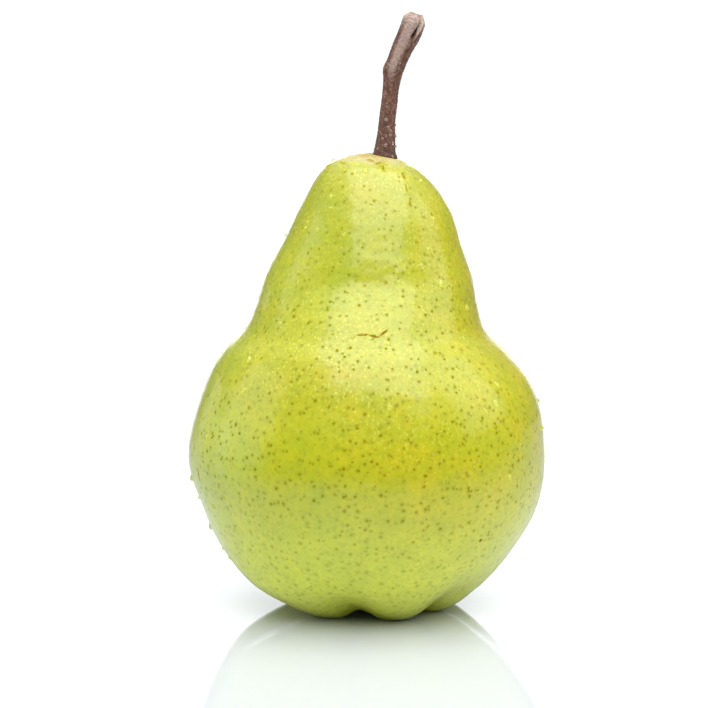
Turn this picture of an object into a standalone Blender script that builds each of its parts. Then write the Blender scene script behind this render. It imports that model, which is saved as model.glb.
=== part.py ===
"""A fresh pear standing on the lobes of its base, with its woody stalk and the dried calyx underneath.

Blender 4.5, metres, Z up. The floor is z = 0, the pear's front faces -Y, and the origin is on the floor
under the widest part of the fruit. Sizes below are in millimetres and angles in degrees.
Azimuths are counted from the front, positive towards +X.
"""

import math

import bpy
import numpy as np

MM = 0.001

# The fruit's outline, (radius, height), from the crown over the neck, waist and belly to the rim it stands on.
CROWN_HEIGHT = 96.8
OUTSIDE = [
    (5.0, 96.3),
    (9.2, 94.5),
    (12.5, 91.2),
    (16.0, 85.5),
    (19.0, 78.0),
    (22.0, 71.0),
    (23.5, 65.0),
    (25.5, 60.0),
    (29.7, 55.5),
    (34.0, 49.5),
    (37.1, 41.0),
    (38.0, 31.0),
    (35.5, 21.0),
    (31.6, 13.0),
    (27.7, 7.5),
    (23.1, 3.6),
    (18.7, 0.9),
]
RIM = (13.9, -0.8)
# The calyx basin inside the rim, up to its floor.
BASIN = [
    (10.4, 0.8),
    (8.0, 3.6),
    (6.3, 6.6),
    (4.0, 8.7),
]
BASIN_HEIGHT = 9.2
RINGS_PER_SPAN = 2
FRUIT_SIDES = 72

# (height, sideways offset): the fruit grew a little crooked, and its neck leans towards +X.
SPINE = [
    (0.0, 0.7),
    (6.0, -0.5),
    (13.0, 0.0),
    (22.0, 0.6),
    (32.0, -0.1),
    (48.0, 0.3),
    (58.0, -0.7),
    (66.0, 0.0),
    (76.0, 0.8),
    (88.0, 1.85),
    (97.0, 1.6),
]
# The crown's top slopes down towards +X, where the stalk stands.
CROWN_SLOPE = 0.088
CROWN_SLOPE_FROM = 80.0
CROWN_SLOPE_TO = 95.0

# (azimuth, depth, half angle, rise): the grooves that part the base into uneven lobes.
GROOVES = [
    (-8.0, 2.7, 15.0, 11.0),
    (47.0, 2.1, 12.0, 8.0),
    (88.0, 1.6, 13.0, 12.0),
    (148.0, 1.8, 18.0, 10.0),
    (-146.0, 2.0, 18.0, 12.0),
    (-80.0, 3.0, 20.0, 8.0),
]
GROOVE_TOP = 40.0
GROOVE_INNER = (2.5, 11.0)
# (azimuth, height, half angle, half height, amount): gentle swellings and hollows. At the front the waist
# sits higher than at the sides, so the shoulder swells there and the neck above it draws in.
SWELLS = [
    (0.0, 59.5, 52.0, 8.5, 3.0),
    (-5.0, 71.5, 50.0, 3.8, -0.9),
]

# The stalk's centre line, (x, y, z, radius), from its foot to the knob where it left the twig.
STALK = [
    (3.7, 0.0, 94.8, 2.5),
    (3.75, 0.0, 97.2, 2.3),
    (4.05, 0.1, 101.5, 1.85),
    (4.5, 0.2, 106.5, 1.7),
    (5.15, 0.3, 111.5, 1.75),
    (5.8, 0.3, 115.2, 2.05),
    (7.4, 0.2, 119.2, 2.2),
    (8.9, 0.1, 122.4, 2.45),
    (9.8, 0.0, 124.8, 2.45),
]
KNOB_ROUNDING = 1.8
KNOB_STEPS = 4
STALK_SIDES = 24
STALK_SPAN_STEPS = 2
SOCKET_DEPTH = 2.2
GAP = 0.3

SEPALS = 5
SEPAL_TURN = 20.0
# A sepal's spine, (distance from the middle, height), from its root to its tip.
SEPAL_PATH = [
    (2.95, 8.4),
    (3.15, 6.9),
    (4.0, 5.3),
    (5.6, 4.3),
]
SEPAL_WIDTH = 2.6
SEPAL_THICKNESS = 0.55
SEPAL_STEPS = 4
SEPAL_SIDES = 10

# The dried flower in the middle of the calyx, (radius, height), top to bottom.
EYE_TOP = 8.85
EYE_OUTLINE = [
    (1.5, 8.8),
    (2.15, 8.3),
    (2.2, 7.4),
    (1.75, 6.6),
    (0.9, 6.5),
]
EYE_BOTTOM = 7.0
EYE_SIDES = 40
EYE_RIBS = 10
EYE_RIB_DEPTH = 0.14


def clear_scene():
    for thing in list(bpy.data.objects):
        bpy.data.objects.remove(thing)


def ease(low, high, value):
    """0 below low, 1 above high, and a smooth step between them."""
    share = np.clip((value - low) / (high - low), 0, 1)
    return share * share * (3 - 2 * share)


def hermite(start, end, start_slope, end_slope, share):
    """The cubic between two values with the given slopes per unit of share."""
    s2 = share * share
    s3 = s2 * share
    return (
        (2 * s3 - 3 * s2 + 1) * start
        + (s3 - 2 * s2 + share) * start_slope
        + (3 * s2 - 2 * s3) * end
        + (s3 - s2) * end_slope
    )


def smooth_line(points, steps, before=None, after=None):
    """A smooth curve through the points, with the given number of steps in each span.

    before and after are the points that would come next at each end. They set the direction there.
    """
    points = np.array(points, float)
    before = 2 * points[0] - points[1] if before is None else np.array(before, float)
    after = 2 * points[-1] - points[-2] if after is None else np.array(after, float)
    all_points = np.vstack([before, points, after])
    gaps = np.sqrt(np.linalg.norm(np.diff(all_points, axis=0), axis=1))[:, None]
    slopes = np.diff(all_points, axis=0) / gaps
    tangents = (slopes[:-1] * gaps[1:] + slopes[1:] * gaps[:-1]) / (gaps[1:] + gaps[:-1])
    share = np.linspace(0, 1, steps, endpoint=False)[:, None]
    spans = [
        hermite(points[i], points[i + 1], tangents[i] * gaps[i + 1], tangents[i + 1] * gaps[i + 1], share)
        for i in range(len(points) - 1)
    ]
    return np.vstack([*spans, points[-1:]])


def spine_offset(height):
    """How far the fruit's middle lies towards +X at a height."""
    heights, offsets = np.array(SPINE).T
    height = np.clip(height, heights[0], heights[-1])
    gaps = np.diff(heights)
    slopes = np.diff(offsets) / gaps
    inner = (slopes[:-1] * gaps[1:] + slopes[1:] * gaps[:-1]) / (gaps[1:] + gaps[:-1])
    tangents = np.concatenate([[0], inner, [0]])
    span = np.clip(np.searchsorted(heights, height, side="right") - 1, 0, len(gaps) - 1)
    width = gaps[span]
    return hermite(
        offsets[span],
        offsets[span + 1],
        tangents[span] * width,
        tangents[span + 1] * width,
        (height - heights[span]) / width,
    )


def lobe_around(azimuths, centre, half_angle):
    """1 at the centre azimuth, falling smoothly to nothing on both sides."""
    turn = (azimuths - math.radians(centre) + math.pi) % (2 * math.pi) - math.pi
    return np.exp(-((turn / math.radians(half_angle)) ** 2))


def fruit_outline():
    """(radius, height) rows from the crown's top, down the outside, round the rim and up the basin."""
    top = (0.0, CROWN_HEIGHT)
    floor = (0.0, BASIN_HEIGHT)
    points = [top, *OUTSIDE, RIM, *BASIN, floor]
    return smooth_line(
        points,
        RINGS_PER_SPAN,
        before=(-OUTSIDE[0][0], OUTSIDE[0][1]),
        after=(-BASIN[-1][0], BASIN[-1][1]),
    )


def fruit_points(outline, azimuths):
    """The fruit's surface as a grid of points, rows along the outline and columns round the azimuths.

    The outline is turned, pushed along its own normal by the grooves and swellings, shifted by the spine,
    tipped at the crown, and pressed flat where it stands on the floor.
    """
    along = np.gradient(outline, axis=0)
    along /= np.linalg.norm(along, axis=1)[:, None]
    radius = outline[:, :1]
    height = outline[:, 1:]
    normal_out = -along[:, 1:]
    normal_up = along[:, :1]
    push = np.zeros((len(outline), len(azimuths)))
    for azimuth, depth, half_angle, rise in GROOVES:
        fade = np.exp(-((np.maximum(height, 0) / rise) ** 1.5)) * (height < GROOVE_TOP)
        push -= depth * fade * ease(*GROOVE_INNER, radius) * lobe_around(azimuths, azimuth, half_angle)
    for azimuth, middle, half_angle, half_height, amount in SWELLS:
        fade = np.exp(-(((height - middle) / half_height) ** 2))
        push += amount * fade * lobe_around(azimuths, azimuth, half_angle)
    push[0] = 0
    push[-1] = 0
    out = radius + push * normal_out
    up = height + push * normal_up
    x = out * np.sin(azimuths)
    y = -out * np.cos(azimuths)
    up = up - CROWN_SLOPE * x * ease(CROWN_SLOPE_FROM, CROWN_SLOPE_TO, up)
    x = x + spine_offset(up)
    return np.stack([x, y, np.maximum(up, 0)], axis=-1)


def mesh_object(name, points, faces, material):
    """An object from points in millimetres, shaded smooth, with its faces turned outward."""
    mesh = bpy.data.meshes.new(name)
    mesh.from_pydata((np.asarray(points) * MM).tolist(), [], faces)
    mesh.validate()
    mesh.materials.append(material)
    mesh.shade_smooth()
    body = bpy.data.objects.new(name, mesh)
    bpy.context.scene.collection.objects.link(body)
    return body


def tube_faces(rings, sides):
    """Faces of a closed tube of equal rings with a point at each end.

    Point 0 is the first pole, then come the rings in order, and the last point is the other pole.
    Each ring turns anticlockwise as seen from beyond the first pole.
    """
    last = 1 + rings * sides
    faces = []
    for side in range(sides):
        after = (side + 1) % sides
        faces.append((0, 1 + side, 1 + after))
        for ring in range(rings - 1):
            here = 1 + ring * sides
            there = here + sides
            faces.append((here + side, there + side, there + after, here + after))
        end = last - sides
        faces.append((last, end + after, end + side))
    return faces


def make_fruit(material):
    azimuths = np.linspace(0, 2 * math.pi, FRUIT_SIDES, endpoint=False)
    grid = fruit_points(fruit_outline(), azimuths)
    points = np.vstack([grid[0, :1], grid[1:-1].reshape(-1, 3), grid[-1, :1]])
    fruit = mesh_object("fruit", points, tube_faces(len(grid) - 2, FRUIT_SIDES), material)
    socket = make_socket()
    cut = fruit.modifiers.new("stalk socket", "BOOLEAN")
    cut.operation = "DIFFERENCE"
    cut.object = socket
    return fruit


def make_socket():
    """The round hole in the crown that the stalk's foot stands in, as a hidden cutter."""
    x, y, foot, radius = STALK[0]
    hole_radius = radius + GAP
    bottom = foot - GAP
    length = SOCKET_DEPTH + 2 * radius
    bpy.ops.mesh.primitive_cylinder_add(
        vertices=STALK_SIDES,
        radius=hole_radius * MM,
        depth=length * MM,
        location=(x * MM, y * MM, (bottom + length / 2) * MM),
    )
    socket = bpy.context.object
    socket.name = "socket_cutter"
    socket.hide_render = True
    socket.display_type = "WIRE"
    return socket


def sweep(name, line, across, sides, material, tip=None):
    """A closed body carried along a line of points, ending in a point at tip, or flat where there is none.

    across(row) gives two half widths for a row of the line: in the plane of its bend and square to it.
    """
    along = np.gradient(line, axis=0)
    along /= np.linalg.norm(along, axis=1)[:, None]
    side = np.cross(along, (0.0, 1.0, 0.0))
    side /= np.linalg.norm(side, axis=1)[:, None]
    face = np.cross(side, along)
    angles = np.linspace(0, 2 * math.pi, sides, endpoint=False)
    rings = [
        line[row]
        + np.cos(angles)[:, None] * side[row] * across(row)[0]
        + np.sin(angles)[:, None] * face[row] * across(row)[1]
        for row in range(len(line))
    ]
    end = line[-1] if tip is None else tip
    points = np.vstack([line[:1], *rings, end[None]])
    return mesh_object(name, points, tube_faces(len(line), sides), material)


def make_stalk(material):
    """The stalk: a bent stick that flares at its foot and ends in a thick rounded knob."""
    line = smooth_line(STALK, STALK_SPAN_STEPS)
    onward = line[-1, :3] - line[-2, :3]
    onward /= np.linalg.norm(onward)
    turn = np.linspace(0, math.pi / 2, KNOB_STEPS + 1)[1:-1, None]
    centres = line[-1, :3] + onward * KNOB_ROUNDING * np.sin(turn)
    knob = np.hstack([centres, line[-1, 3] * np.cos(turn)])
    line = np.vstack([line, knob])
    tip = line[-1, :3] + onward * KNOB_ROUNDING * (1 - math.sin(turn[-1, 0]))
    return sweep("stem", line[:, :3], lambda row: (line[row, 3],) * 2, STALK_SIDES, material, tip)


def make_sepal(number, material):
    """One dried sepal: a thin tongue that tapers to its tip and curls away from the middle."""
    path = smooth_line(SEPAL_PATH, SEPAL_STEPS)
    share = np.linspace(0, 1, len(path))
    half_width = SEPAL_WIDTH / 2 * np.sqrt(np.clip(1 - share**1.6, 0.02, 1))
    half_thickness = SEPAL_THICKNESS / 2 * (1 - 0.6 * share)
    line = np.stack([path[:, 0], np.zeros(len(path)), path[:, 1]], axis=1)
    sepal = sweep(
        f"sepal_{number}",
        line,
        lambda row: (half_thickness[row], half_width[row]),
        SEPAL_SIDES,
        material,
    )
    sepal.rotation_euler.z = math.radians(SEPAL_TURN + number * 360 / SEPALS)
    return sepal


def make_eye(material):
    """The dried remains of the flower: a small ribbed button that hangs in the calyx."""
    outline = smooth_line(EYE_OUTLINE, 2)
    angles = np.linspace(0, 2 * math.pi, EYE_SIDES, endpoint=False)
    ribbed = 1 - EYE_RIB_DEPTH * (0.5 - 0.5 * np.cos(EYE_RIBS * angles))
    radius = outline[:, :1] * ribbed
    height = np.repeat(outline[:, 1:], EYE_SIDES, axis=1)
    rings = np.stack([radius * np.sin(angles), -radius * np.cos(angles), height], axis=-1)
    top = [(0.0, 0.0, EYE_TOP)]
    bottom = [(0.0, 0.0, EYE_BOTTOM)]
    points = np.vstack([top, rings.reshape(-1, 3), bottom])
    return mesh_object("calyx_eye", points, tube_faces(len(outline), EYE_SIDES), material)


def make_material(name, colour, roughness):
    """A plain finish: colour is sRGB from 0 to 255."""
    material = bpy.data.materials.new(name)
    material.use_nodes = True
    shader = material.node_tree.nodes["Principled BSDF"]
    linear = [((c / 255 + 0.055) / 1.055) ** 2.4 for c in colour]
    shader.inputs["Base Color"].default_value = (*linear, 1)
    shader.inputs["Roughness"].default_value = roughness
    shader.inputs["Metallic"].default_value = 0.0
    material.diffuse_color = (*linear, 1)
    return material


def main():
    clear_scene()
    skin = make_material("pear skin", (201, 207, 62), 0.32)
    wood = make_material("stalk wood", (124, 92, 78), 0.6)
    dried = make_material("dried sepal", (84, 62, 42), 0.8)
    dark = make_material("dried flower", (52, 38, 28), 0.85)
    make_fruit(skin)
    make_stalk(wood)
    for number in range(1, SEPALS + 1):
        make_sepal(number, dried)
    make_eye(dark)


main()
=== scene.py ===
# %% [markdown]
# # A fresh pear, damp from the market
#
# This lesson finishes a pear in Blender. The frame that is loaded first holds plain solids of the right
# size and place: the fruit, its stalk, five dried sepals and the dried flower underneath. Here each of
# them gets a fine surface, worked out with numpy, and a material built from nodes. Then it is sprinkled
# with water drops, set on a glossy white floor and lit by one large soft light from above.
# Lengths are millimetres and angles are degrees until a mesh is made. Only the camera, the lights and the
# floor are placed in metres.

# %% Load the frame
import functools
import math

import bpy
import numpy as np
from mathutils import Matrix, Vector
from mathutils.bvhtree import BVHTree


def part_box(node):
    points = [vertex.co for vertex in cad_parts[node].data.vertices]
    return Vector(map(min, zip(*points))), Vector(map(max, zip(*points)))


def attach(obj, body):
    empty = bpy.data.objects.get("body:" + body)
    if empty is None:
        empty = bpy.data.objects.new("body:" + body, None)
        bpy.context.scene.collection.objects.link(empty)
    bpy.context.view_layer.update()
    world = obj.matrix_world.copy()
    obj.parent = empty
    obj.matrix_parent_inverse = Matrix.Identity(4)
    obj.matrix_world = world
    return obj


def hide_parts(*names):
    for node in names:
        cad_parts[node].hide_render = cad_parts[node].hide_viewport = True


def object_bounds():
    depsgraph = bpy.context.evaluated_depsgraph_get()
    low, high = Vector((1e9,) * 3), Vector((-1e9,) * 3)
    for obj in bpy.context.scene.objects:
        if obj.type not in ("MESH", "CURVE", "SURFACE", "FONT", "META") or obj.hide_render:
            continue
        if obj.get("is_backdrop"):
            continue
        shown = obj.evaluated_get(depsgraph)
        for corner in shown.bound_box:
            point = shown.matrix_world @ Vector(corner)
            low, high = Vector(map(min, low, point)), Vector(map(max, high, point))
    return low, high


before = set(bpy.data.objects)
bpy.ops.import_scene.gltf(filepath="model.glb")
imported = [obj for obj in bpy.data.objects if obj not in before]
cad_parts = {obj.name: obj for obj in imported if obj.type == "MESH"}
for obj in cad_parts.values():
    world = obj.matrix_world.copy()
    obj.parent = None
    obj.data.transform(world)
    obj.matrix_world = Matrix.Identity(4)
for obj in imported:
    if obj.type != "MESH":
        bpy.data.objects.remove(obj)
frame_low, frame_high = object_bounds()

fruit_low, fruit_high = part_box("fruit")
FRUIT_WIDTH = 76.0
MM = (fruit_high.x - fruit_low.x) / FRUIT_WIDTH

# %% [markdown]
# ## Tools for shapes
#
# Everything round here is a grid of points: the rows run from one pole to the other and the columns run
# round the axis. A smooth curve through a few chosen points is easier to steer than a formula, so the
# outlines are Hermite curves, which pass through their points and take the direction there from the
# neighbours.

# %% Smooth curves


def ease(low, high, value):
    """0 below low, 1 above high, and the cubic 3t^2 - 2t^3 between them."""
    share = np.clip((value - low) / (high - low), 0, 1)
    return share * share * (3 - 2 * share)


def hermite(start, end, start_slope, end_slope, share):
    """The cubic between two values that has the given slopes per unit of share at its ends."""
    s2 = share * share
    s3 = s2 * share
    return (
        (2 * s3 - 3 * s2 + 1) * start
        + (s3 - 2 * s2 + share) * start_slope
        + (3 * s2 - 2 * s3) * end
        + (s3 - s2) * end_slope
    )


def smooth_line(points, steps, before=None, after=None):
    """A Hermite curve through the points, with steps rows in each span.

    The parameter grows by the square root of each chord, which keeps tight bends from overshooting.
    before and after are the points that would come next at each end, and set the direction there.
    """
    points = np.array(points, float)
    before = 2 * points[0] - points[1] if before is None else np.array(before, float)
    after = 2 * points[-1] - points[-2] if after is None else np.array(after, float)
    all_points = np.vstack([before, points, after])
    gaps = np.sqrt(np.linalg.norm(np.diff(all_points, axis=0), axis=1))[:, None]
    slopes = np.diff(all_points, axis=0) / gaps
    tangents = (slopes[:-1] * gaps[1:] + slopes[1:] * gaps[:-1]) / (gaps[1:] + gaps[:-1])
    share = np.linspace(0, 1, steps, endpoint=False)[:, None]
    spans = [
        hermite(points[i], points[i + 1], tangents[i] * gaps[i + 1], tangents[i + 1] * gaps[i + 1], share)
        for i in range(len(points) - 1)
    ]
    return np.vstack([*spans, points[-1:]])


def even_rows(line, count):
    """The same line read again at count places that lie equally far apart, counted over all its columns."""
    steps = np.linalg.norm(np.diff(line, axis=0), axis=1)
    travelled = np.concatenate([[0], np.cumsum(steps)])
    wanted = np.linspace(0, travelled[-1], count)
    return np.stack([np.interp(wanted, travelled, column) for column in line.T], axis=1)


# %% [markdown]
# Nothing grown is even. Cosine waves of many lengths, sent in many directions and added up, give soft lumps
# that never repeat. They push each point along its normal, the direction square to the surface.

# %% Unevenness and normals


def ripples(points, seed, high, shortest, longest, count=24):
    """Smooth unevenness of about -high to high: the scaled mean of cosine waves in seeded directions."""
    rng = np.random.default_rng(seed)
    directions = rng.normal(size=(count, 3))
    directions /= np.linalg.norm(directions, axis=1)[:, None]
    lengths = rng.uniform(shortest, longest, count)[:, None]
    phases = rng.uniform(0, 2 * math.pi, count)
    waves = np.cos(points @ (2 * math.pi * directions / lengths).T + phases)
    return high * (waves.mean(axis=-1) * math.sqrt(count / 4))


def grid_normals(grid):
    """The outward normal of each grid point: the cross product of the two directions across it.

    The columns close round the axis, so their differences wrap. A pole takes the mean of the row beside it.
    """
    down = np.gradient(grid, axis=0)
    across = np.roll(grid, -1, axis=1) - np.roll(grid, 1, axis=1)
    normals = np.cross(down, across)
    normals[0] = normals[1].mean(axis=0)
    normals[-1] = normals[-2].mean(axis=0)
    return normals / np.linalg.norm(normals, axis=-1)[..., None]


# %% [markdown]
# A closed grid becomes a mesh of quads with a fan of triangles at each pole. Its volume is summed from one
# tetrahedron for each triangle. It comes out negative when the faces point inwards, and then they are turned
# round.

# %% Meshes


def closed_faces(rows, columns, copies=1):
    """Quads and triangles of a grid whose columns close round it and whose end rows are single points.

    Point 0 is the first pole, then come the inner rows in order, and the last point is the other pole. With
    copies, the same faces are repeated for equal grids whose points follow each other.
    """
    column = np.arange(columns)
    after = (column + 1) % columns
    start = 1 + np.arange(rows - 3)[:, None] * columns
    quads = np.stack([start + column, start + columns + column, start + columns + after, start + after], -1)
    end = 1 + (rows - 3) * columns
    first = np.stack([np.zeros_like(column), 1 + column, 1 + after], -1)
    last = np.stack([np.full_like(column, end + columns), end + after, end + column], -1)
    step = (end + columns + 1) * np.arange(copies)[:, None, None]
    triangles = np.concatenate([first, last])
    return (quads.reshape(-1, 4) + step).reshape(-1, 4), (triangles + step).reshape(-1, 3)


def closed_points(grids):
    """The points that closed_faces expects, from one grid or a stack of equal ones."""
    grids = np.asarray(grids)
    grids = grids[None] if grids.ndim == 3 else grids
    inner = grids[:, 1:-1].reshape(len(grids), -1, 3)
    return np.concatenate([grids[:, 0, :1], inner, grids[:, -1, :1]], axis=1).reshape(-1, 3)


def signed_volume(points, triangles):
    """A sixth of the sum of the determinants of the triangles' corners: positive if they face outwards."""
    return np.linalg.det(points[triangles]).sum() / 6


def make_piece(name, grids, material, stands_for=()):
    """A smooth object at the origin that rides on the pear's body, from closed grids in millimetres."""
    grids = np.asarray(grids)
    points = closed_points(grids)
    copies = len(grids) if grids.ndim == 4 else 1
    quads, triangles = closed_faces(*grids.shape[-3:-1], copies)
    halves = np.concatenate([quads[:, :3], quads[:, [0, 2, 3]], triangles])
    volume = signed_volume(points, halves)
    if volume < 0:
        quads, triangles = quads[:, ::-1], triangles[:, ::-1]
    mesh = bpy.data.meshes.new(name)
    mesh.from_pydata((points * MM).tolist(), [], quads.tolist() + triangles.tolist())
    mesh.materials.append(material)
    mesh.shade_smooth()
    piece = bpy.data.objects.new(name, mesh)
    bpy.context.scene.collection.objects.link(piece)
    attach(piece, "root")
    if stands_for:
        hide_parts(*stands_for)
    print(name, "has", len(halves), "triangles and holds", round(abs(volume) / 1000, 3), "cm3")
    return piece


# %% [markdown]
# ## Tools for materials
#
# A shader works with linear light, while a colour given here is sRGB, so one function turns the hex
# values round. Another adds a node, gives it its settings and joins up its sockets. With these two a
# material reads from top to bottom like a recipe. Each patterned material makes a short form of the second
# one, with its own node tree filled in.

# %% Colours and nodes
# With this setting a MapRange eases in and out of its range instead of running straight.
SMOOTH = {"interpolation_type": "SMOOTHSTEP"}


def linear(hex_colour):
    """An sRGB hex colour as linear red, green and blue, with full alpha."""
    srgb = np.array([int(hex_colour[i : i + 2], 16) for i in (1, 3, 5)]) / 255
    light = np.where(srgb <= 0.04045, srgb / 12.92, ((srgb + 0.055) / 1.055) ** 2.4)
    return (*light.tolist(), 1.0)


def output_of(source):
    """A node's first working output. A socket, number or colour comes back as it is."""
    if isinstance(source, bpy.types.Node):
        return next(output for output in source.outputs if output.enabled)
    return source


def add(tree, kind, *values, named=None, stops=(), **settings):
    """Adds a node. settings are its own choices, values fill its working sockets in order, named by name.

    A value is a number, a colour, a socket, or a node, whose first working output is then used. stops are
    the (position, hex colour) pairs of a colour ramp, from low to high.
    """
    node = tree.nodes.new("ShaderNode" + kind)
    for setting, choice in settings.items():
        setattr(node, setting, choice)
    if stops:
        elements = node.color_ramp.elements
        for element, (position, colour) in zip(elements, (stops[0], stops[-1])):
            element.position = position
            element.color = linear(colour)
        for position, colour in stops[1:-1]:
            elements.new(position).color = linear(colour)
    working = [socket for socket in node.inputs if socket.enabled]
    pairs = list(zip(working, values))
    pairs += [(next(s for s in working if s.name == key), value) for key, value in (named or {}).items()]
    for socket, value in pairs:
        value = output_of(value)
        if isinstance(value, bpy.types.NodeSocket):
            tree.links.new(value, socket)
        else:
            socket.default_value = value
    return node


def new_material(name, **sockets):
    """A material with one Principled BSDF, whose sockets are named with _ for a space."""
    material = bpy.data.materials.new(name)
    material.use_nodes = True
    tree = material.node_tree
    shader = tree.nodes["Principled BSDF"]
    for socket, value in sockets.items():
        shader.inputs[socket.replace("_", " ")].default_value = value
    return material, tree, shader


def drive(tree, shader, **results):
    """Links the finished patterns of a material to its shader's sockets, named with _ for a space."""
    for socket, result in results.items():
        tree.links.new(output_of(result), shader.inputs[socket.replace("_", " ")])


# %% [markdown]
# ## The camera and the light
#
# The pear is seen from the front and a little above, from about 0.7 m, with a long lens that keeps its
# shape free of distortion. One large softbox hangs overhead, in front and slightly to the right. It makes
# the broad pale patches on the crown and the shoulder. Small panels open the two sides, the right
# one more, and a low one at the back left draws the pale edge of the belly there.

# %% Camera
VIEW_DISTANCE = 0.7
CAMERA_HEIGHT = 0.16
AIM_HEIGHT = 0.065
SENSOR_WIDTH = 0.036
# How wide the frame is where the pear stands, and how far it is shifted, in shares of its width.
FIELD_WIDTH = 0.1503
SHIFT = (-0.01836, -0.07)

drop = CAMERA_HEIGHT - AIM_HEIGHT
back = math.sqrt(VIEW_DISTANCE**2 - drop**2)
camera_data = bpy.data.cameras.new("camera")
camera_data.sensor_width = SENSOR_WIDTH * 1000
camera_data.lens = SENSOR_WIDTH * 1000 * VIEW_DISTANCE / FIELD_WIDTH
camera_data.shift_x, camera_data.shift_y = SHIFT
camera = bpy.data.objects.new("camera", camera_data)
camera.location = (0, -back, CAMERA_HEIGHT)
camera.rotation_euler.x = math.pi / 2 - math.atan2(drop, back)
bpy.context.scene.collection.objects.link(camera)
bpy.context.scene.camera = camera
print("lens", round(camera_data.lens, 1), "mm, looking down", round(math.degrees(math.atan2(drop, back)), 1))

# %% Lights
# Each softbox: name, place in metres, size in metres, turn in its own plane, and the brightness of its face.
SOFTBOXES = [
    ("softbox_top", (0.07, -0.22, 0.70), (0.95, 1.05), -14.0, 2.83),
    ("panel_right", (0.85, -0.05, 0.5), (0.6, 0.6), 0.0, 1.5),
    ("panel_left", (-0.85, 0.0, 0.25), (0.6, 0.5), 0.0, 1.3),
    ("panel_low_left", (-0.85, 0.5, 0.03), (0.7, 0.42), 0.0, 0.7),
]


def add_softbox(name, place, size, spin, brightness):
    """An area light that faces the pear. Its power is pi times its area times its face's brightness."""
    light = bpy.data.lights.new(name, "AREA")
    light.shape = "RECTANGLE"
    light.size, light.size_y = size
    light.energy = math.pi * size[0] * size[1] * brightness
    lamp = bpy.data.objects.new(name, light)
    lamp.location = place
    aim = Vector((0, 0, AIM_HEIGHT)) - lamp.location
    lamp.rotation_euler = aim.to_track_quat("-Z", "Y").to_euler()
    lamp.rotation_euler.rotate_axis("Z", math.radians(spin))
    lamp.visible_camera = False
    bpy.context.scene.collection.objects.link(lamp)


for softbox in SOFTBOXES:
    add_softbox(*softbox)

# %% [markdown]
# The room is a studio with dark walls, a pale ceiling and a lit white panel straight behind the pear, all
# blended by direction. Dark walls keep the skin's colour full, since wax mirrors them as a veil over it. The
# panel is mirrored in the floor and draws a thin pale rim round the fruit, because anything glossy mirrors
# most at a grazing angle. What is seen directly is plain white from every side.

# %% Room
# The brightness of the dark walls, of the ceiling, and of the lit panel straight behind the pear.
WALLS, CEILING, PANEL = 0.18, 1.15, 2.3
# How steeply up, or straight back, a direction has to point to meet them: where they begin and are full.
CEILING_EDGE, PANEL_EDGE = (0.2, 0.85), (0.92, 0.98)
# A little over white, so that the floor's far edge doesn't show as a line.
BACKDROP = 1.06

world = bpy.data.worlds.new("white_room")
world.use_nodes = True
room = world.node_tree
direction = add(room, "SeparateXYZ", add(room, "TexCoord").outputs["Generated"])
ceiling = add(room, "MapRange", direction.outputs["Z"], *CEILING_EDGE, WALLS, CEILING, **SMOOTH)
panel = add(room, "MapRange", direction.outputs["Y"], *PANEL_EDGE, 0.0, PANEL, **SMOOTH)
fill = add(room, "Background", linear("#F8FAFF"), add(room, "Math", ceiling, panel, operation="MAXIMUM"))
backdrop = add(room, "Background", linear("#FFFFFF"), BACKDROP)
seen = add(room, "LightPath").outputs["Is Camera Ray"]
both = add(room, "MixShader", seen, fill, backdrop)
room.links.new(both.outputs[0], room.nodes["World Output"].inputs["Surface"])
bpy.context.scene.world = world
bpy.context.scene.view_settings.view_transform = "Standard"

# %% [markdown]
# ## The floor
#
# The pear stands on a round sheet of gloss acrylic. Its polished face mirrors the fruit weakly, most of all
# at a low angle, while the white body below the gloss stays bright. That is what a Principled BSDF does with
# a pale base colour, a low roughness and the index of refraction of acrylic.

# %% Floor
FLOOR_RADIUS = 0.6
# The sheet ends close in front of the pear, so the belly mirrors the dark room and not the floor.
FLOOR_FRONT = -0.24
FLOOR_SIDES = 96

acrylic = new_material("white_acrylic_cast", Base_Color=linear("#C4C8CF"), Roughness=0.02, IOR=1.5)[0]
turns = np.linspace(0, 2 * math.pi, FLOOR_SIDES, endpoint=False)
rim = np.stack([np.cos(turns), np.sin(turns), 0 * turns], axis=1) * FLOOR_RADIUS
rim[:, 1] += FLOOR_FRONT + FLOOR_RADIUS
floor_mesh = bpy.data.meshes.new("floor")
floor_mesh.from_pydata(rim.tolist(), [], [tuple(range(FLOOR_SIDES))])
floor_mesh.materials.append(acrylic)
floor = bpy.data.objects.new("floor", floor_mesh)
bpy.context.scene.collection.objects.link(floor)
floor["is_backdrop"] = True

# %% [markdown]
# ## The fruit's shape
#
# A pear is nearly a turned shape: an outline carried round an axis. What makes it look grown is everything
# that departs from that. Its axis wanders, its crown is tipped towards the stalk, grooves part its base into
# lobes, and the shoulder swells at the front. It could be sculpted by hand, but as a rule with numbers each
# of these can be changed alone, and the same rule made the plain solid, so the fine surface fits it. On top
# come dents and swellings a few tenths of a millimetre high, which break up the highlights.

# %% The outline and the departures from it
# (radius, height) from the crown over the neck, waist and belly to the rim it stands on.
CROWN_HEIGHT = 96.8
OUTSIDE = [
    (5.0, 96.3), (9.2, 94.5), (12.5, 91.2), (16.0, 85.5), (19.0, 78.0), (22.0, 71.0), (23.5, 65.0),
    (25.5, 60.0), (29.7, 55.5), (34.0, 49.5), (37.1, 41.0), (38.0, 31.0), (35.5, 21.0), (31.6, 13.0),
    (27.7, 7.5), (23.1, 3.6), (18.7, 0.9),
]
RIM = (13.9, -0.8)
# The calyx basin inside the rim, up to its floor.
BASIN = [(10.4, 0.8), (8.0, 3.6), (6.3, 6.6), (4.0, 8.7)]
BASIN_HEIGHT = 9.2
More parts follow.
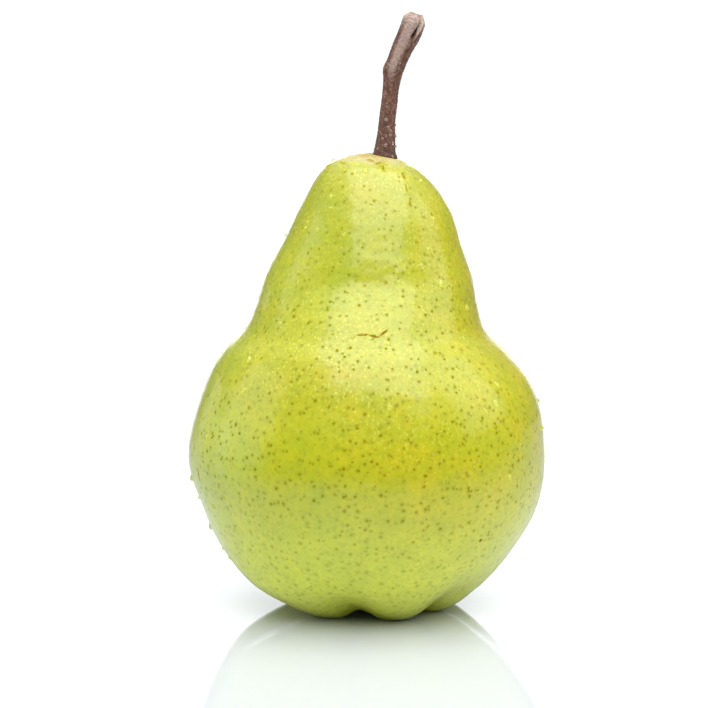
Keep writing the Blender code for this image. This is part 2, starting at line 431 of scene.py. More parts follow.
# (height, offset towards +X) of the axis.
SPINE = [
    (0.0, 0.7), (6.0, -0.5), (13.0, 0.0), (22.0, 0.6), (32.0, -0.1), (48.0, 0.3), (58.0, -0.7), (66.0, 0.0),
    (76.0, 0.8), (88.0, 1.85), (97.0, 1.6),
]
CROWN_SLOPE, CROWN_SLOPE_FROM, CROWN_SLOPE_TO = 0.088, 80.0, 95.0
# (azimuth, depth, half angle, rise) of the grooves. Azimuths count from the front, positive to +X.
GROOVES = [
    (-8.0, 2.7, 15.0, 11.0), (47.0, 2.1, 12.0, 8.0), (88.0, 1.6, 13.0, 12.0),
    (148.0, 1.8, 18.0, 10.0), (-146.0, 2.0, 18.0, 12.0), (-80.0, 3.0, 20.0, 8.0),
]
GROOVE_TOP = 40.0
GROOVE_INNER = (2.5, 11.0)
# (azimuth, height, half angle, half height, amount) of the swellings and hollows.
SWELLS = [(0.0, 59.5, 52.0, 8.5, 3.0), (-5.0, 71.5, 50.0, 3.8, -0.9)]

# %% From the outline to the surface


def spine_offset(height):
    """How far the axis lies towards +X at a height: a Hermite curve through SPINE."""
    heights, offsets = np.array(SPINE).T
    height = np.clip(height, heights[0], heights[-1])
    gaps = np.diff(heights)
    slopes = np.diff(offsets) / gaps
    inner = (slopes[:-1] * gaps[1:] + slopes[1:] * gaps[:-1]) / (gaps[1:] + gaps[:-1])
    tangents = np.concatenate([[0], inner, [0]])
    span = np.clip(np.searchsorted(heights, height, side="right") - 1, 0, len(gaps) - 1)
    width = gaps[span]
    share = (height - heights[span]) / width
    start_slope, end_slope = tangents[span] * width, tangents[span + 1] * width
    return hermite(offsets[span], offsets[span + 1], start_slope, end_slope, share)


def lobe_around(azimuths, centre, half_angle):
    """1 at the centre azimuth, falling as a bell curve to both sides."""
    turn = (azimuths - math.radians(centre) + math.pi) % (2 * math.pi) - math.pi
    return np.exp(-((turn / math.radians(half_angle)) ** 2))


def fruit_surface(outline, azimuths):
    """Point (row, column) = the outline's row turned to the azimuth and pushed along its own normal.

    The push is minus the grooves plus the swellings. Then the crown is tipped, the axis is shifted
    sideways, and what lies below the floor is pressed up onto it, softly.
    """
    along = np.gradient(outline, axis=0)
    along /= np.linalg.norm(along, axis=1)[:, None]
    radius, height = outline[:, :1], outline[:, 1:]
    push = np.zeros((len(outline), len(azimuths)))
    for azimuth, depth, half_angle, rise in GROOVES:
        fade = np.exp(-((np.maximum(height, 0) / rise) ** 1.5)) * (height < GROOVE_TOP)
        push -= depth * fade * ease(*GROOVE_INNER, radius) * lobe_around(azimuths, azimuth, half_angle)
    for azimuth, middle, half_angle, half_height, amount in SWELLS:
        fade = np.exp(-(((height - middle) / half_height) ** 2))
        push += amount * fade * lobe_around(azimuths, azimuth, half_angle)
    push[[0, -1]] = 0
    out = radius - push * along[:, 1:]
    up = height + push * along[:, :1]
    x = out * np.sin(azimuths)
    y = -out * np.cos(azimuths)
    up = up - CROWN_SLOPE * x * ease(CROWN_SLOPE_FROM, CROWN_SLOPE_TO, up)
    return np.stack([x + spine_offset(up), y, up], axis=-1)


# %% The fine surface
FRUIT_COLUMNS = 352
FRUIT_ROWS = 280
# How high the unevenness stands, and its shortest and longest wave.
DENTS = (0.22, 14.0, 34.0)
PEEL = (0.035, 1.8, 4.0)
# It sets in between these heights, so that the base stays level.
UNEVEN_FROM, UNEVEN_TO = 0.5, 8.0
# How gently, in millimetres, what would lie below the floor is bent up onto it.
FLOOR_SOFTNESS = 0.25
STALK_FOOT = np.array([3.7, 0.0])
# The high power gives the stalk's socket steep walls and a flat floor.
SOCKET_RADIUS, SOCKET_DEPTH, SOCKET_POWER = 2.5, 1.4, 8
COLLAR_RADIUS, COLLAR_WIDTH, COLLAR_HEIGHT = 3.5, 0.9, 0.3
# The rows below the widest one that still lie on the outside, before the outline turns under.
ROWS_BELOW_WIDEST = 70

outline_knots = [(0.0, CROWN_HEIGHT), *OUTSIDE, RIM, *BASIN, (0.0, BASIN_HEIGHT)]
mirrored_top = (-OUTSIDE[0][0], OUTSIDE[0][1])
mirrored_floor = (-BASIN[-1][0], BASIN[-1][1])
outline = even_rows(smooth_line(outline_knots, 24, mirrored_top, mirrored_floor), FRUIT_ROWS)
outer_rows = np.argmax(outline[:, 0]) + ROWS_BELOW_WIDEST
azimuths = np.linspace(0, 2 * math.pi, FRUIT_COLUMNS, endpoint=False)
fruit = fruit_surface(outline, azimuths)
lift = ripples(fruit, 3, *DENTS) + ripples(fruit, 4, *PEEL)
lift *= ease(UNEVEN_FROM, UNEVEN_TO, fruit[..., 2])
fruit += grid_normals(fruit) * lift[..., None]
from_stalk = np.linalg.norm(fruit[..., :2] - STALK_FOOT, axis=-1)
crown = fruit[..., 2] > CROWN_SLOPE_FROM
collar = COLLAR_HEIGHT * np.exp(-(((from_stalk - COLLAR_RADIUS) / COLLAR_WIDTH) ** 2))
socket_depth = SOCKET_DEPTH * np.exp(-((from_stalk / SOCKET_RADIUS) ** SOCKET_POWER))
fruit[..., 2] += crown * (collar - socket_depth)
fruit[..., 2] = (fruit[..., 2] + np.sqrt(fruit[..., 2] ** 2 + FLOOR_SOFTNESS**2)) / 2
fruit_out = grid_normals(fruit)
extent = np.round(np.ptp(fruit.reshape(-1, 3), axis=0), 2)
print("fruit", extent, "mm, lowest point", round(fruit[..., 2].min(), 3))

# %% [markdown]
# ## The skin
#
# Pear skin is a thin translucent wax over green and yellow cells. Three things make it look real. The
# ground colour drifts from green to yellow over centimetres, riper on the sunny side. Lenticels, the small
# corky pores, lie one to two millimetres apart, the large ones in a darker green ring. And it has a
# history: russet where the stalk was wet, rubs and a scratch. The wax gives a soft gloss.
#
# A picture could be wrapped round the fruit, but it would show a seam and blur close up. Patterns that read
# Object coordinates have neither fault, and in millimetres a pore keeps its size on every part of the fruit.

# %% Places on the skin


def skin_place(azimuth, height):
    """The point on the fruit's outside that has an azimuth and lies nearest to a height."""
    column = int(round(azimuth % 360 / 360 * FRUIT_COLUMNS)) % FRUIT_COLUMNS
    points = fruit[:outer_rows, column]
    return points[np.abs(points[:, 2] - height).argmin()]


# %% Marks on the skin
# Each mark: azimuth, height, half length, half width, tilt from level, and darkness.
RUSSET_MARKS = [
    (-8.0, 96.2, 1.6, 0.4, -20.0, 0.7), (6.0, 95.8, 1.5, 0.4, 20.0, 0.8),
    (12.0, 94.9, 1.0, 0.35, 60.0, 0.8), (35.0, 93.0, 0.9, 0.55, 70.0, 0.55),
    (36.0, 93.8, 0.35, 0.3, 0.0, 0.9), (31.0, 90.9, 2.2, 0.35, 80.0, 0.5),
    (30.0, 87.8, 1.6, 0.3, 85.0, 0.5), (-1.5, 62.5, 1.6, 0.34, 2.0, 1.0),
    (3.8, 62.1, 1.5, 0.36, -10.0, 1.0), (8.6, 62.9, 1.5, 0.36, 34.0, 1.0),
    (-59.4, 39.9, 1.1, 0.3, 38.0, 0.8), (-67.5, 30.8, 2.4, 0.28, 80.0, 0.6),
    (29.5, 58.4, 0.75, 0.6, 0.0, 0.45), (41.0, 19.3, 0.6, 0.5, 0.0, 1.0), (62.5, 28.4, 0.5, 0.3, 40.0, 0.8),
    (64.5, 28.2, 0.4, 0.3, 0.0, 0.8), (30.2, 88.6, 0.4, 0.4, 0.0, 1.0), (118.0, 57.0, 1.8, 0.3, 20.0, 0.8),
    (150.0, 33.0, 1.2, 0.9, 10.0, 0.6), (-132.0, 44.0, 2.6, 0.3, -50.0, 0.7),
    (-170.0, 70.0, 1.2, 0.5, 35.0, 0.7), (-78.0, 94.9, 2.4, 0.5, 8.0, 0.5),
    (-52.0, 95.6, 1.8, 0.4, -6.0, 0.5), (172.0, 22.0, 0.8, 0.6, 0.0, 0.9),
    (96.0, 84.0, 1.7, 0.3, 75.0, 0.7), (-105.0, 62.0, 0.6, 0.5, 0.0, 0.9),
]
# How far a mark's ellipsoid reaches in and out of the skin.
MARK_DEPTH = 1.2

# %% Skin material
# Waves per millimetre: clouds of colour are about 29 mm wide, patches 6 mm and flecks 0.8 mm.
CLOUDS, PATCHES, FLECKS = 0.035, 0.17, 1.2

# Some light goes up to 2 mm into the flesh, blue the least, and a slightly blurred coat of wax lies over all.
skin, skin_tree, skin_shader = new_material(
    "pear_skin_waxy",
    Metallic=0.0,
    IOR=1.42,
    Subsurface_Weight=0.2,
    Subsurface_Radius=(1.0, 0.9, 0.2),
    Subsurface_Scale=0.002,
    Coat_Roughness=0.17,
    Coat_IOR=1.45,
)
skin_node = functools.partial(add, skin_tree)

object_place = skin_node("TexCoord").outputs["Object"]
place = skin_node("VectorMath", object_place, (1 / MM,) * 3, operation="MULTIPLY")
axes = skin_node("SeparateXYZ", place)
side, height = axes.outputs["X"], axes.outputs["Z"]
clouds = skin_node("TexNoise", named={"Vector": place, "Scale": CLOUDS, "Detail": 3.0, "Roughness": 0.55})
patches = skin_node("TexNoise", named={"Vector": place, "Scale": PATCHES, "Detail": 4.0, "Roughness": 0.6})
flecks = skin_node("TexNoise", named={"Vector": place, "Scale": FLECKS, "Detail": 4.0, "Roughness": 0.65})

# %% [markdown]
# The ripeness is one number for each spot: it grows towards +X, sinks towards the base and a little on the
# neck, and drifts with three sizes of noise. A colour ramp turns it into green, yellow-green or yellow.
# Towards the base it is mixed with a pale green, which is painted light: it stands for the light that the
# bright floor throws up onto the lower belly. Patches and flecks vary the lightness, as the cells under the
# wax do. On top of that the belly is a little lighter and the crown a little darker, which is painted light
# and shade: more fill light on the belly, less of the top light on the crown.

# %% Ground colour
# How much riper the skin is for each millimetre towards +X, and in the middle.
SUN, RIPE = 0.005, 0.57

belly = skin_node("MapRange", height, 6.0, 44.0, -0.16, 0.06, **SMOOTH)
crest = skin_node("MapRange", height, 48.0, 72.0, 0.0, -0.05, **SMOOTH)
ripeness = skin_node("Math", side, SUN, RIPE, operation="MULTIPLY_ADD")
for part in (belly, crest):
    ripeness = skin_node("Math", part, ripeness, operation="ADD")
for noise, share in ((clouds, 0.7), (patches, 0.7), (flecks, 0.4)):
    centred = skin_node("Math", noise, 0.5, operation="SUBTRACT")
    ripeness = skin_node("Math", centred, share, ripeness, operation="MULTIPLY_ADD")
# The greenest stop is partly the skin's own green and partly painted reflection: its raised blue stands for
# the pale haze that the wax mirrors at the lower left.
greens = [(0.1, "#B2C146"), (0.36, "#A8B316"), (0.58, "#AEB008"), (0.95, "#BAAC04")]
ground = skin_node("ValToRGB", ripeness, stops=greens)
ground.color_ramp.interpolation = "EASE"
# Painted light: towards the base the colour is mixed with a pale green for the light the floor throws up.
painted_bounce_light = skin_node("MapRange", height, 36.0, 4.0, 0.0, 0.85, **SMOOTH)
bounce_lit = skin_node("Mix", painted_bounce_light, ground, linear("#DCE444"), data_type="RGBA")
mottle = skin_node("Math", flecks, 0.6, operation="MULTIPLY")
mottle = skin_node("Math", patches, 0.6, mottle, operation="MULTIPLY_ADD")
lightness = skin_node("MapRange", mottle, 0.4, 0.8, 0.89, 1.13)
# Painted light and shade: the belly is made up to a tenth lighter and the crown up to 8 % darker.
for low, high, below, above in ((38.0, 62.0, 1.1, 0.99), (78.0, 94.0, 1.0, 0.92)):
    painted_light_by_height = skin_node("MapRange", height, low, high, below, above, **SMOOTH)
    lightness = skin_node("Math", lightness, painted_light_by_height, operation="MULTIPLY")
cells_and_painted_light = skin_node("HueSaturation", named={"Value": lightness, "Color": bounce_lit})

# %% [markdown]
# Lenticels come from Voronoi patterns: one random point in each cell. Where the surface passes near a
# point it shows a dot, so the dots differ in size by themselves, and each cell's random colour varies them
# more. A sparse layer holds the large pores with their halos, and a dense one the fine specks between. Noise
# bends the coordinates a little, which keeps the dots from being round. Towards the base and on the neck
# they get fainter.

# %% Lenticels
# Each layer: the cell in mm, the smallest and largest radius, the halo's share, and the darkness.
PORE_LAYERS = [(1.5, 0.27, 0.48, 0.45, 0.7), (0.95, 0.1, 0.3, 0.24, 0.3)]
# A pore's full darkness reaches out to this share of its radius, and its halo ends at this many radii.
CORE, HALO = 0.4, 2.2
# Waves per millimetre of the noise that bends the coordinates, and how many millimetres it spans.
BENDS, WOBBLE = 1.6, 0.35

bent = skin_node("TexNoise", named={"Vector": place, "Scale": BENDS, "Detail": 2.0})
wobble = skin_node("VectorMath", bent.outputs["Color"], (0.5, 0.5, 0.5), operation="SUBTRACT")
wobbled = skin_node("VectorMath", wobble, (WOBBLE,) * 3, place, operation="MULTIPLY_ADD")
strength = skin_node("MapRange", height, 12.0, 40.0, 0.5, 1.0, **SMOOTH)
neck = skin_node("MapRange", height, 60.0, 82.0, 1.0, 0.7, **SMOOTH)
strength = skin_node("Math", strength, neck, operation="MULTIPLY")
ripe = skin_node("MapRange", ripeness, 0.35, 0.75, 0.0, 1.0)
cork = skin_node("Mix", ripe, linear("#667200"), linear("#846200"), data_type="RGBA")
pored, corky = cells_and_painted_light, 0.0
for cell, smallest, largest, halo_part, darkness in PORE_LAYERS:
    pores = skin_node("TexVoronoi", named={"Vector": wobbled, "Scale": 1 / cell})
    chance = skin_node("SeparateXYZ", pores.outputs["Color"])
    size = skin_node("MapRange", chance.outputs["X"], 0.0, 1.0, smallest / cell, largest / cell)
    inner = skin_node("Math", size, CORE, operation="MULTIPLY")
    outer = skin_node("Math", size, HALO, operation="MULTIPLY")
    pore = skin_node("MapRange", pores.outputs["Distance"], inner, size, 1.0, 0.0, **SMOOTH)
    halo = skin_node("MapRange", pores.outputs["Distance"], inner, outer, halo_part, 0.0, **SMOOTH)
    luck = skin_node("MapRange", chance.outputs["Y"], 0.0, 1.0, 0.5 * darkness, darkness)
    pore = skin_node("Math", pore, strength, operation="MULTIPLY")
    pore = skin_node("Math", pore, luck, operation="MULTIPLY")
    halo = skin_node("Math", halo, strength, operation="MULTIPLY")
    ringed = skin_node("Mix", halo, pored, linear("#8A8E02"), data_type="RGBA")
    pored = skin_node("Mix", pore, ringed, cork, data_type="RGBA")
    corky = skin_node("Math", pore, corky, operation="MAXIMUM")

# %% [markdown]
# Russet is corky skin. It spreads where the stalk kept the crown wet, so a noise pattern is let through only
# near the stalk's foot, inside a paler veil. The single marks are soft ellipsoids, one for each rub or
# scratch. A spherical gradient is 1 in its middle and 0 at its edge, and a Mapping node gives it its place,
# turn and size.

# %% Russet and marks
# The middle and half sizes of the ellipsoid that russet stays in, and its crumbs' waves per millimetre.
RUSSET_REACH = {"Location": (1.2, -1.0, 96.3), "Scale": (12.0, 9.5, 4.2)}
CRUMBS = 0.75

foot_place = skin_node("Mapping", wobbled, named=RUSSET_REACH, vector_type="TEXTURE")
near_stalk = skin_node("TexGradient", foot_place, gradient_type="SPHERICAL")
crumbs = skin_node("TexNoise", named={"Vector": place, "Scale": CRUMBS, "Detail": 5.0, "Roughness": 0.7})
spread = skin_node("Math", crumbs, near_stalk, operation="ADD")
russet = skin_node("MapRange", spread, 0.98, 1.2, 0.0, 0.65)
marked = 0.0
for azimuth, mark_height, half_length, half_width, tilt, darkness in RUSSET_MARKS:
    spot = skin_place(azimuth, mark_height)
    turn = (0.0, -math.radians(tilt), math.radians(azimuth))
    reach = {"Location": tuple(spot), "Rotation": turn, "Scale": (half_length, MARK_DEPTH, half_width)}
    mark_place = skin_node("Mapping", wobbled, named=reach, vector_type="TEXTURE")
    inside = skin_node("TexGradient", mark_place, gradient_type="SPHERICAL")
    mark = skin_node("MapRange", inside, 0.1, 0.55, 0.0, darkness)
    marked = skin_node("Math", mark, marked, operation="MAXIMUM")
rust = skin_node("Mix", crumbs, linear("#6B5220"), linear("#B59A60"), data_type="RGBA")
scab = skin_node("Mix", crumbs, linear("#5E4212"), linear("#A07C36"), data_type="RGBA")
veil = skin_node("MapRange", spread, 0.72, 1.05, 0.0, 0.75)
veiled = skin_node("Mix", veil, pored, linear("#C2B68A"), data_type="RGBA")
rusty = skin_node("Mix", russet, veiled, rust, data_type="RGBA")
healed = skin_node("Mix", marked, rusty, scab, data_type="RGBA")

# %% [markdown]
# The pear has been sprayed, so the neck and the shoulder are misted with droplets too fine to model one by
# one. They are another Voronoi pattern: pale beads, drawn out downwards because they begin to run, and only
# slightly raised. Their paleness is painted light: the glint and the gathered light of each droplet, put
# into the skin's colour. Real ones are finer still, but wouldn't show.

# %% Mist
# The cell in millimetres, and how much coordinates shrink downwards, which makes the beads longer.
MIST_CELL, MIST_RUN = 0.8, 0.62
# The spray came from the +X side, so the wetness reaches lower there, by this much of X.
WET_LEAN = 0.4
# The mist sets in between these levels, and a bead's painted light covers at most this share of the skin's
# colour.
MIST_FROM, MIST_TO, MIST_LIGHT_SHARE = 31.0, 50.0, 0.36

drawn = skin_node("VectorMath", place, (1.0, 1.0, MIST_RUN), operation="MULTIPLY")
mist = skin_node("TexVoronoi", named={"Vector": drawn, "Scale": 1 / MIST_CELL})
bead = skin_node("MapRange", mist.outputs["Distance"], 0.14, 0.4, 1.0, 0.0, **SMOOTH)
wet_level = skin_node("Math", side, WET_LEAN, height, operation="MULTIPLY_ADD")
wet = skin_node("MapRange", wet_level, MIST_FROM, MIST_TO, 0.0, 1.0, **SMOOTH)
drift = skin_node("MapRange", clouds, 0.4, 0.6, 0.35, 1.0)
beads = skin_node("Math", bead, wet, operation="MULTIPLY")
beads = skin_node("Math", beads, drift, operation="MULTIPLY")
# Painted highlight: each bead lightens the skin's colour towards pale yellow, for the light its droplet
# catches.
painted_bead_light = skin_node("Math", beads, MIST_LIGHT_SHARE, operation="MULTIPLY")
bead_lit = skin_node("Mix", painted_bead_light, healed, linear("#E0E65A"), data_type="RGBA")

# %% [markdown]
# The wax coat covers the cells but not the cork, so pores and russet are matte as well as dark. That keeps
# them brown even inside a highlight.

# %% Gloss and relief
# The weight of the wax coat and the sheen under it, and how matte a spot is when it has lost both.
COAT, SHEEN, BARE = 0.85, 0.5, 0.45
# The height of the skin's relief in millimetres.
RELIEF = 0.08

dull = skin_node("MapRange", flecks, 0.3, 0.7, 0.32, 0.46)
matte = skin_node("Math", russet, marked, operation="MAXIMUM")
matte = skin_node("Math", matte, corky, operation="MAXIMUM")
rough = skin_node("Math", matte, 0.5, dull, operation="MULTIPLY_ADD", use_clamp=True)
waxy = skin_node("MapRange", matte, 0.0, BARE, COAT, 0.0)
glint = skin_node("MapRange", matte, 0.0, BARE, SHEEN, 0.0)
relief = skin_node("Math", flecks, 0.6, operation="MULTIPLY")
for part, share in ((corky, 0.3), (russet, 0.5), (beads, 0.4)):
    relief = skin_node("Math", part, share, relief, operation="MULTIPLY_ADD")
bump = skin_node("Bump", named={"Strength": 0.8, "Distance": RELIEF * MM, "Height": relief})
finish = {"Base_Color": bead_lit, "Roughness": rough, "Coat_Weight": waxy, "Specular_IOR_Level": glint}
drive(skin_tree, skin_shader, **finish, Normal=bump)

# %% Fruit piece
fruit_piece = make_piece("fruit_skin", fruit, skin, ["fruit"])
mesh = fruit_piece.data
skin_faces = BVHTree.FromPolygons([v.co for v in mesh.vertices], [p.vertices for p in mesh.polygons])
below_crown = CROWN_SLOPE_FROM * MM
solid = [corner.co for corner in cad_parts["fruit"].data.vertices if corner.co.z < below_crown]
gaps = np.array([skin_faces.find_nearest(corner)[3] for corner in solid]) / MM
print("below the crown the plain solid's corners lie", round(gaps.mean(), 2), "mm from the fine skin")
print("and the farthest of them", round(gaps.max(), 2), "mm")

# %% [markdown]
# ## The stalk
#
# A pear's stalk is wood with a thin reddish bark. It carries fibres lengthwise, has a knee where it once
# bent, and ends in a knob that split as it dried. A tube carried along a curved line gives the
# stick, and everything else is a change of its radius with the height and the bearing round it.

# %% Tubes


def tube_grid(line, columns, across):
    """Rows of (x, y, z, radius) turned into rings round the line.

    A ring's point lies at sin(bearing) to the right and cos(bearing) to the front. Right is square to the
    line and to across, and front is square to the line and to right.
    """
    along = np.gradient(line[:, :3], axis=0)
    along /= np.linalg.norm(along, axis=1)[:, None]
    right = np.cross(across, along)
    right /= np.linalg.norm(right, axis=1)[:, None]
    front = np.cross(right, along)
    bearing = np.linspace(0, 2 * math.pi, columns, endpoint=False)[:, None]
    ring = np.sin(bearing) * right[:, None] + np.cos(bearing) * front[:, None]
    return line[:, None, :3] + line[:, None, 3:] * ring


def rounded_end(knot, onward, length, steps=16):
    """Rows that close a tube beyond a knot (x, y, z, radius) with a quarter of an ellipse."""
    turn = np.linspace(0, math.pi / 2, steps + 1)[1:, None]
    return np.hstack([knot[:3] + onward * length * np.sin(turn), knot[3] * np.cos(turn)])


# %% Stalk line
# (x, y, z, radius) from the foot to the knob.
STALK = [
    (3.7, 0.0, 94.8, 2.5), (3.75, 0.0, 97.2, 2.3), (4.05, 0.1, 101.5, 1.85), (4.5, 0.2, 106.5, 1.7),
    (5.15, 0.3, 111.5, 1.75), (5.8, 0.3, 115.2, 2.05), (7.4, 0.2, 119.2, 2.2), (8.9, 0.1, 122.4, 2.45),
    (9.8, 0.0, 124.8, 2.45),
]
KNOB_ROUNDING, FOOT_ROUNDING = 1.8, 0.4
STALK_COLUMNS, STALK_ROWS = 144, 320

stick = smooth_line(STALK, 24)
knob_way = stick[-1, :3] - stick[-2, :3]
knob_way /= np.linalg.norm(knob_way)
foot_end = rounded_end(stick[0], np.array([0, 0, -1.0]), FOOT_ROUNDING)[::-1]
knob_end = rounded_end(stick[-1], knob_way, KNOB_ROUNDING)
stick = even_rows(np.vstack([foot_end, stick, knob_end]), STALK_ROWS)

# %% [markdown]
# The bark's fibres are waves in stretched coordinates: a millimetre round the stick but nine along it. They
# are worked out on the straightened stick, so that they follow its bend. The same straight coordinates go
# into the mesh as an attribute, for the material to read.

# %% Stalk surface
STRAIGHT_RADIUS = 2.0
FIBRE_STRETCH = 9.0
# How high each unevenness stands, and its shortest and longest wave.
FIBRES = (0.06, 0.5, 1.5)
GRAIN = (0.065, 0.4, 0.9)
LUMPS = (0.09, 3.0, 8.0)
KNEE = {"height": 114.6, "half_height": 1.1, "bearing": -95.0, "half_angle": 50.0, "amount": 0.3}
FLARE = {"height": 96.4, "half_height": 0.8, "amount": 0.3}

bearings = np.linspace(0, 2 * math.pi, STALK_COLUMNS, endpoint=False)
travelled = np.concatenate([[0], np.cumsum(np.linalg.norm(np.diff(stick[:, :3], axis=0), axis=1))])
round_x, round_y = STRAIGHT_RADIUS * np.sin(bearings), -STRAIGHT_RADIUS * np.cos(bearings)
straight = np.stack(np.broadcast_arrays(round_x, round_y, travelled[:, None]), axis=-1)
stretched = straight / (1, 1, FIBRE_STRETCH)
level = stick[:, 2:3]
bark = ripples(stretched, 11, *FIBRES, count=40)
bark += ripples(straight, 12, *GRAIN, count=60)
bark += ripples(straight, 13, *LUMPS)
knee = np.exp(-(((level - KNEE["height"]) / KNEE["half_height"]) ** 2))
bark += KNEE["amount"] * knee * lobe_around(bearings, KNEE["bearing"], KNEE["half_angle"])
bark += FLARE["amount"] * np.exp(-(((level - FLARE["height"]) / FLARE["half_height"]) ** 2))

# %% The split, the scar and the finished surface
# The split in the knob: its lower end, and its bearing there and at the top.
SPLIT = {"foot": 121.4, "top": 125.5, "bearings": (15.0, 36.0), "half_width": 0.24, "depth": 0.85}
# It opens between these heights, counted from its lower end, and one side of it has a raised lip.
SPLIT_OPENS = (-0.3, 1.2)
LIP = {"offset": 0.55, "half_width": 0.26, "height": 0.36}
SPLIT_WANDER = (0.08, 0.8, 2.0)
# The torn scar covers the end of the knob, between these heights.
SCAR_FROM, SCAR_TO = 124.6, 126.2
SCAR = (0.4, 0.6, 1.6)
# Where the rounded ends are thinner than this, the unevenness fades out.
FADE_RADIUS = 1.2

up_split = ease(SPLIT["foot"], SPLIT["top"], level)
split_bearing = np.radians(SPLIT["bearings"][0] + np.ptp(SPLIT["bearings"]) * up_split)
turn = (bearings - split_bearing + math.pi) % (2 * math.pi) - math.pi
beside = turn * stick[:, 3:] + ripples(straight, 15, *SPLIT_WANDER)
open_split = ease(*(SPLIT["foot"] + above for above in SPLIT_OPENS), level)
bark -= SPLIT["depth"] * open_split * np.exp(-((beside / SPLIT["half_width"]) ** 2))
bark += LIP["height"] * open_split * np.exp(-(((beside - LIP["offset"]) / LIP["half_width"]) ** 2))
bark += ease(SCAR_FROM, SCAR_TO, level) * ripples(straight, 16, *SCAR)
ends = np.minimum(1, stick[:, 3:] / FADE_RADIUS)
stalk = tube_grid(stick, STALK_COLUMNS, np.array([0, 1.0, 0]))
stalk_out = grid_normals(stalk)
stalk_out *= np.sign((stalk_out * (stalk - stick[:, None, :3])).sum())
stalk[1:-1] += (stalk_out * (bark * ends)[..., None])[1:-1]
new_normals = grid_normals(stalk)
stalk_out = new_normals * np.sign((new_normals * stalk_out).sum())
print("stalk", np.round(np.ptp(stalk.reshape(-1, 3), axis=0), 2), "mm")

# %% [markdown]
# Bark is dry cork over wood, so it is brown and matte. Fine strands run lengthwise, blotches tell how it
# dried, and grit is the cork's own grain, which roughens it as well. The patterns read the straightened
# coordinates, so they bend with the stick.

# %% Bark material
# Waves per millimetre: strands are 0.4 mm wide, blotches 2 mm and grit 0.5 mm.
STRANDS, BLOTCHES, GRIT = 2.4, 0.45, 2.2
# How much coordinates shrink lengthwise, which draws the strands out, and the height of the bark's relief.
STRAND_RUN, BARK_RELIEF = 0.28, 0.3

stalk_wood, wood_tree, wood_shader = new_material("pear_wood_bark", Metallic=0.0, IOR=1.4)
wood_node = functools.partial(add, wood_tree)

grain = wood_node("Attribute", attribute_name="straight").outputs["Vector"]
lengthwise = wood_node("VectorMath", grain, (1.0, 1.0, STRAND_RUN), operation="MULTIPLY")
drawn_out = {"Vector": lengthwise, "Scale": STRANDS, "Detail": 5.0, "Roughness": 0.65}
strands = wood_node("TexNoise", named=drawn_out)
blotches = wood_node("TexNoise", named={"Vector": grain, "Scale": BLOTCHES, "Detail": 4.0})
grit = wood_node("TexNoise", named={"Vector": grain, "Scale": GRIT, "Detail": 4.0, "Roughness": 0.7})
tone = wood_node("Math", blotches, 0.25, operation="MULTIPLY")
for pattern, share in ((strands, 0.5), (grit, 0.4)):
    tone = wood_node("Math", pattern, share, tone, operation="MULTIPLY_ADD")
browns = [(0.42, "#3D281F"), (0.57, "#694636"), (0.74, "#9A745E")]
bark_colour = wood_node("ValToRGB", tone, stops=browns)
dull_bark = wood_node("MapRange", strands, 0.3, 0.7, 0.42, 0.62)
furrows = wood_node("Math", strands, 0.6, grit, operation="MULTIPLY_ADD")
furrowed = wood_node("Bump", named={"Strength": 0.7, "Distance": BARK_RELIEF * MM, "Height": furrows})

# %% [markdown]
# High up on its front the bark carries a pale streak, a painted highlight of the top light on the leaning
# front, and the knob, where the stalk broke off its twig, is greyer. The split is dark inside and pale along
# its lip: a narrow ellipsoid tints each. The foot is darkened with painted shade where it stands in the
# fruit's socket, and the stalk's own pores are small pale dots.

# %% Weathering
# The middle and half sizes of the ellipsoid that the painted highlight stays in.
HIGHLIGHT_REACH = {"Location": (-0.5, -2.0, 27.0), "Scale": (1.35, 1.6, 14.0)}
# Each streak along the split: its offset from the middle, half width, strength and colour.
STREAKS = [(0.0, 0.3, 0.85, "#33201A"), (LIP["offset"], 0.26, 0.65, "#D2BBAA")]
# Their height on the stick, the knob's radius there, and their tilt, depth and half length.
STREAK_HEIGHT, KNOB_RADIUS, STREAK_TILT, STREAK_DEPTH, STREAK_LENGTH = 123.7, 2.4, 0.12, 1.5, 3.2
DOT_CELL = 1.25

up_stalk = wood_node("SeparateXYZ", grain).outputs["Z"]
# Painted highlight: a pale streak on the front of the upper stalk, where the top light falls on it.
rise = wood_node("MapRange", up_stalk, 15.0, 22.0, 0.0, 1.0, **SMOOTH)
band = wood_node("Mapping", grain, named=HIGHLIGHT_REACH, vector_type="TEXTURE")
painted_highlight = wood_node("TexGradient", band, gradient_type="SPHERICAL")
broken = wood_node("MapRange", grit, 0.35, 0.6, 0.5, 1.0)
painted_highlight = wood_node("Math", painted_highlight, broken, operation="MULTIPLY")
painted_highlight = wood_node("MapRange", painted_highlight, 0.05, 0.45, 0.0, 0.75)
painted_highlight = wood_node("Math", painted_highlight, rise, operation="MULTIPLY")
highlighted = wood_node("Mix", painted_highlight, bark_colour, linear("#BBA295"), data_type="RGBA")
knob = wood_node("MapRange", up_stalk, 28.5, 32.0, 0.0, 1.0, **SMOOTH)
crumbled = wood_node("MapRange", grit, 0.36, 0.6, 0.3, 0.85)
knob = wood_node("Math", knob, crumbled, operation="MULTIPLY")
dry_and_highlighted = wood_node("Mix", knob, highlighted, linear("#B7A193"), data_type="RGBA")
